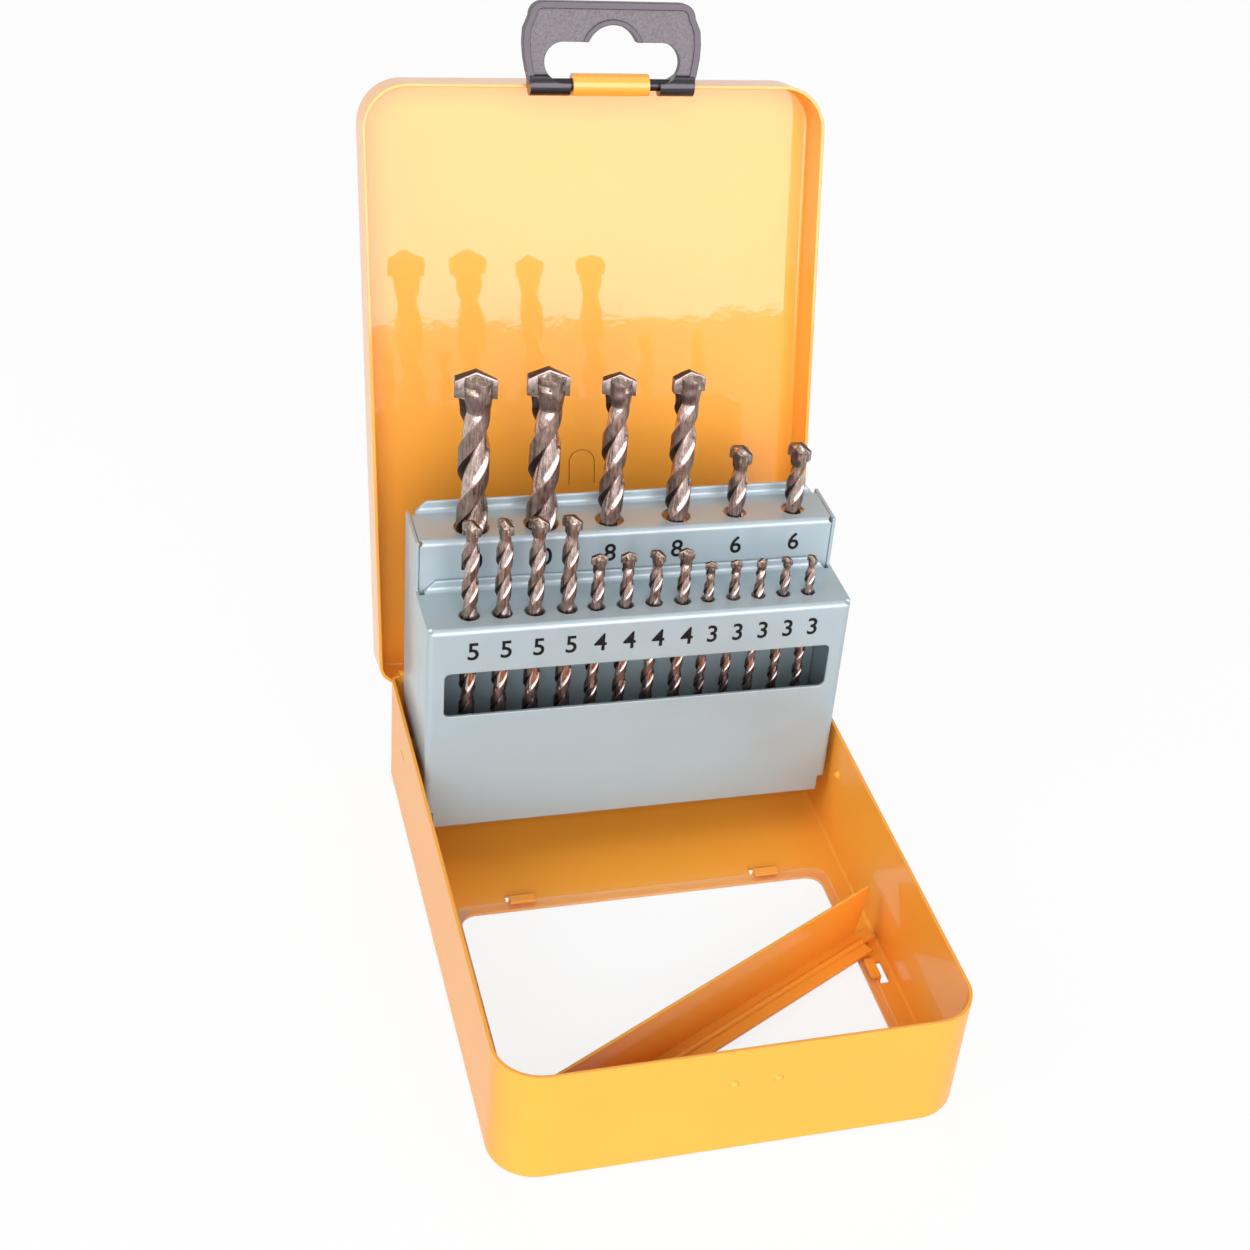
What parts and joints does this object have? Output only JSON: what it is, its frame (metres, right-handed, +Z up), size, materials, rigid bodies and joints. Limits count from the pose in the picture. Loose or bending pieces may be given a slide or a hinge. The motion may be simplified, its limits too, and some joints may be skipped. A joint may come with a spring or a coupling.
{
  "type": "drill bit case",
  "caption": "Pressed-steel drill bit case with a hinged lid, hanging latch loop, windowed tray and a tilting two-step holder of masonry bits.",
  "frame": {"origin": "middle of the tray's underside, on its resting plane", "axes": "+Z up, -Y towards the front with the latch dimples, +Y towards the hinge, +X to the right seen from the front"},
  "size_m": [0.1144, 0.1955, 0.1938],
  "materials": {
    "yellow_paint": "gloss",
    "grey_paint": "satin",
    "black_plastic": "fine texture",
    "clear_pane": "clear",
    "zinc_steel": "satin",
    "dark_steel": "blackened",
    "bronze_steel": "bronze oxide",
    "carbide": "rough braze"
  },
  "bodies": {
    "tray": {"tray_shell": "yellow_paint", "window_pane": "clear_pane", "stop_bar": "yellow_paint", "hinge_pin": "zinc_steel"},
    "lid": {"lid_shell": "yellow_paint", "latch_pin": "dark_steel"},
    "loop": {"hanging_loop": "black_plastic"},
    "holder": {"holder_front_plate": "grey_paint", "holder_rear_plate": "grey_paint", "shank_guide": "grey_paint", "shank_shelf": "grey_paint"},
    "drill_10mm_a": {"bit_10mm_a": "bronze_steel", "tip_10mm_a": "carbide"},
    "drill_10mm_b": {"bit_10mm_b": "bronze_steel", "tip_10mm_b": "carbide"},
    "drill_8mm_a": {"bit_8mm_a": "bronze_steel", "tip_8mm_a": "carbide"},
    "drill_8mm_b": {"bit_8mm_b": "bronze_steel", "tip_8mm_b": "carbide"},
    "drill_6mm_a": {"bit_6mm_a": "bronze_steel", "tip_6mm_a": "carbide"},
    "drill_6mm_b": {"bit_6mm_b": "bronze_steel", "tip_6mm_b": "carbide"},
    "drill_5mm_a": {"bit_5mm_a": "bronze_steel", "tip_5mm_a": "carbide"},
    "drill_5mm_b": {"bit_5mm_b": "bronze_steel", "tip_5mm_b": "carbide"},
    "drill_5mm_c": {"bit_5mm_c": "bronze_steel", "tip_5mm_c": "carbide"},
    "drill_5mm_d": {"bit_5mm_d": "bronze_steel", "tip_5mm_d": "carbide"},
    "drill_4mm_a": {"bit_4mm_a": "bronze_steel", "tip_4mm_a": "carbide"},
    "drill_4mm_b": {"bit_4mm_b": "bronze_steel", "tip_4mm_b": "carbide"},
    "drill_4mm_c": {"bit_4mm_c": "bronze_steel", "tip_4mm_c": "carbide"},
    "drill_4mm_d": {"bit_4mm_d": "bronze_steel", "tip_4mm_d": "carbide"},
    "drill_3mm_a": {"bit_3mm_a": "bronze_steel", "tip_3mm_a": "carbide"},
    "drill_3mm_b": {"bit_3mm_b": "bronze_steel", "tip_3mm_b": "carbide"},
    "drill_3mm_c": {"bit_3mm_c": "bronze_steel", "tip_3mm_c": "carbide"},
    "drill_3mm_d": {"bit_3mm_d": "bronze_steel", "tip_3mm_d": "carbide"},
    "drill_3mm_e": {"bit_3mm_e": "bronze_steel", "tip_3mm_e": "carbide"}
  },
  "joints": [
    {"name": "lid_hinge", "type": "hinge", "parent": "tray", "child": "lid", "pos_m": [0, 0.0739, 0.0298], "axis": [-1, 0, 0], "range_deg": [-103.5, 0]},
    {"name": "holder_pivot", "type": "hinge", "parent": "tray", "child": "holder", "pos_m": [0, 0.053, 0.0238], "axis": [-1, 0, 0], "range_deg": [-91, 0]},
    {"name": "loop_hinge", "type": "hinge", "parent": "lid", "child": "loop", "pos_m": [0.0016, 0.10807, 0.17514], "axis": [-1, 0, 0], "range_deg": [-90, 60]},
    {"name": "lift_10mm_a", "type": "slide", "parent": "holder", "child": "drill_10mm_a", "axis": [0, 0.0175, 0.9998], "range_m": [0, 0.062]},
    {"name": "lift_10mm_b", "type": "slide", "parent": "holder", "child": "drill_10mm_b", "axis": [0, 0.0175, 0.9998], "range_m": [0, 0.062]},
    {"name": "lift_8mm_a", "type": "slide", "parent": "holder", "child": "drill_8mm_a", "axis": [0, 0.0175, 0.9998], "range_m": [0, 0.062]},
    {"name": "lift_8mm_b", "type": "slide", "parent": "holder", "child": "drill_8mm_b", "axis": [0, 0.0175, 0.9998], "range_m": [0, 0.062]},
    {"name": "lift_6mm_a", "type": "slide", "parent": "holder", "child": "drill_6mm_a", "axis": [0, 0.0175, 0.9998], "range_m": [0, 0.062]},
    {"name": "lift_6mm_b", "type": "slide", "parent": "holder", "child": "drill_6mm_b", "axis": [0, 0.0175, 0.9998], "range_m": [0, 0.062]},
    {"name": "lift_5mm_a", "type": "slide", "parent": "holder", "child": "drill_5mm_a", "axis": [0, 0.0175, 0.9998], "range_m": [0, 0.052]},
    {"name": "lift_5mm_b", "type": "slide", "parent": "holder", "child": "drill_5mm_b", "axis": [0, 0.0175, 0.9998], "range_m": [0, 0.052]},
    {"name": "lift_5mm_c", "type": "slide", "parent": "holder", "child": "drill_5mm_c", "axis": [0, 0.0175, 0.9998], "range_m": [0, 0.052]},
    {"name": "lift_5mm_d", "type": "slide", "parent": "holder", "child": "drill_5mm_d", "axis": [0, 0.0175, 0.9998], "range_m": [0, 0.052]},
    {"name": "lift_4mm_a", "type": "slide", "parent": "holder", "child": "drill_4mm_a", "axis": [0, 0.0175, 0.9998], "range_m": [0, 0.052]},
    {"name": "lift_4mm_b", "type": "slide", "parent": "holder", "child": "drill_4mm_b", "axis": [0, 0.0175, 0.9998], "range_m": [0, 0.052]},
    {"name": "lift_4mm_c", "type": "slide", "parent": "holder", "child": "drill_4mm_c", "axis": [0, 0.0175, 0.9998], "range_m": [0, 0.052]},
    {"name": "lift_4mm_d", "type": "slide", "parent": "holder", "child": "drill_4mm_d", "axis": [0, 0.0175, 0.9998], "range_m": [0, 0.052]},
    {"name": "lift_3mm_a", "type": "slide", "parent": "holder", "child": "drill_3mm_a", "axis": [0, 0.0175, 0.9998], "range_m": [0, 0.052]},
    {"name": "lift_3mm_b", "type": "slide", "parent": "holder", "child": "drill_3mm_b", "axis": [0, 0.0175, 0.9998], "range_m": [0, 0.052]},
    {"name": "lift_3mm_c", "type": "slide", "parent": "holder", "child": "drill_3mm_c", "axis": [0, 0.0175, 0.9998], "range_m": [0, 0.052]},
    {"name": "lift_3mm_d", "type": "slide", "parent": "holder", "child": "drill_3mm_d", "axis": [0, 0.0175, 0.9998], "range_m": [0, 0.052]},
    {"name": "lift_3mm_e", "type": "slide", "parent": "holder", "child": "drill_3mm_e", "axis": [0, 0.0175, 0.9998], "range_m": [0, 0.052]}
  ],
  "couplings": [
    {"joint": "holder_pivot", "follows": "lid_hinge", "ratio": 0.879}
  ]
}
